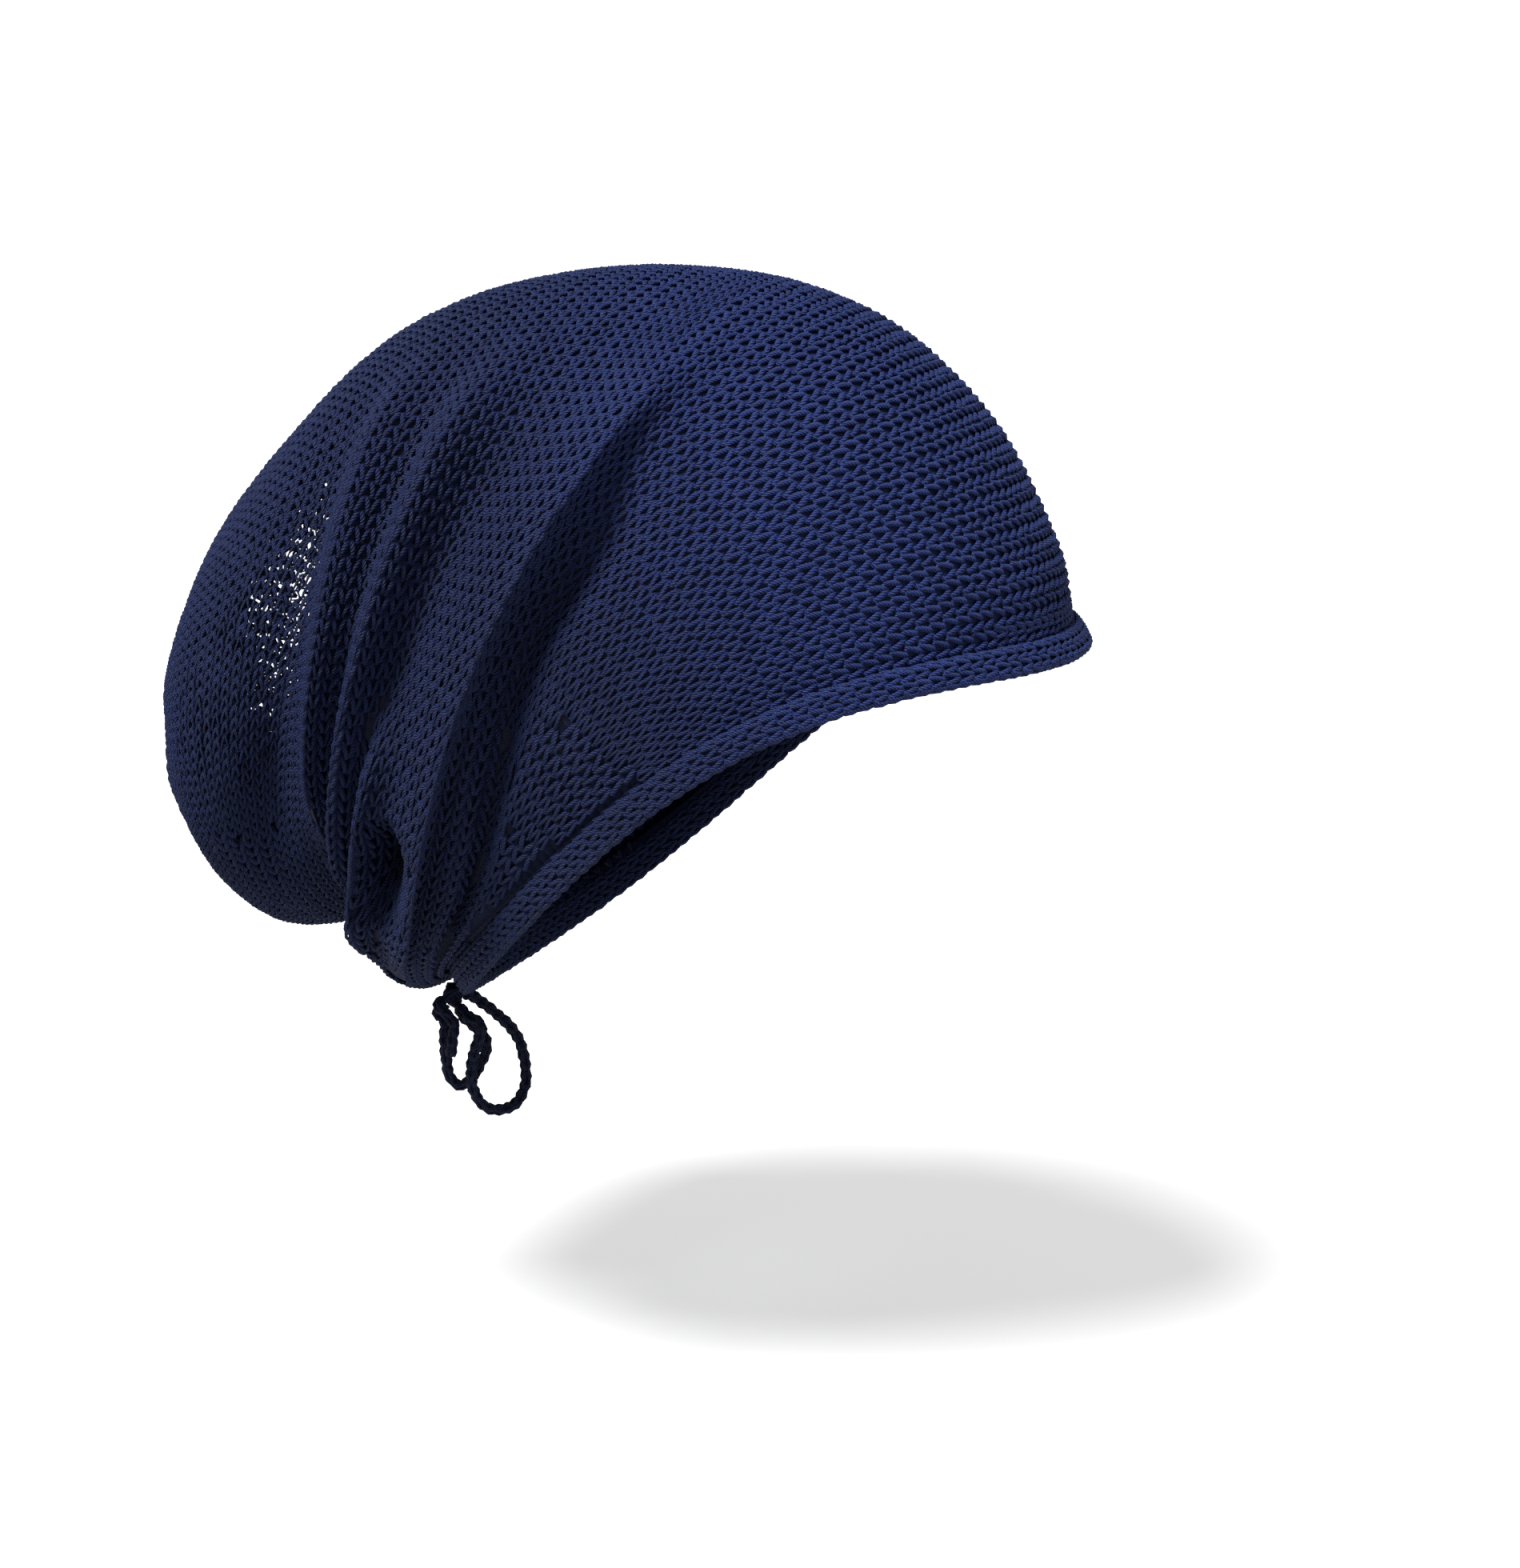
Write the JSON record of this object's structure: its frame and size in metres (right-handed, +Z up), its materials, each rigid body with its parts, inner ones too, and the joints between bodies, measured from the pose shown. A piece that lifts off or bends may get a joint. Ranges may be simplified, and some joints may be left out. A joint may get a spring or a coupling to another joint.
{
  "type": "slouchy knitted beanie with drawcord bow",
  "caption": "Slouchy hollow knitted beanie in its worn shape, with folded sides, a rolled hem and a small drawcord bow hanging at the nape.",
  "frame": {"origin": "head seat: the middle of the opening that the head goes into", "axes": "+Z up, -Y to the forehead, +Y to the nape and the hanging bag, -X to the wearer's right"},
  "size_m": [0.1831, 0.235, 0.2257],
  "materials": {
    "knit": "navy cotton open knit",
    "cord": "navy cotton crocheted cord"
  },
  "bodies": {
    "root": {"knit_crown": "knit", "rolled_hem": "knit", "bow_knot": "cord", "bow_loop_short": "cord", "bow_loop_long": "cord", "bow_tail_short": "cord"}
  },
  "joints": []
}
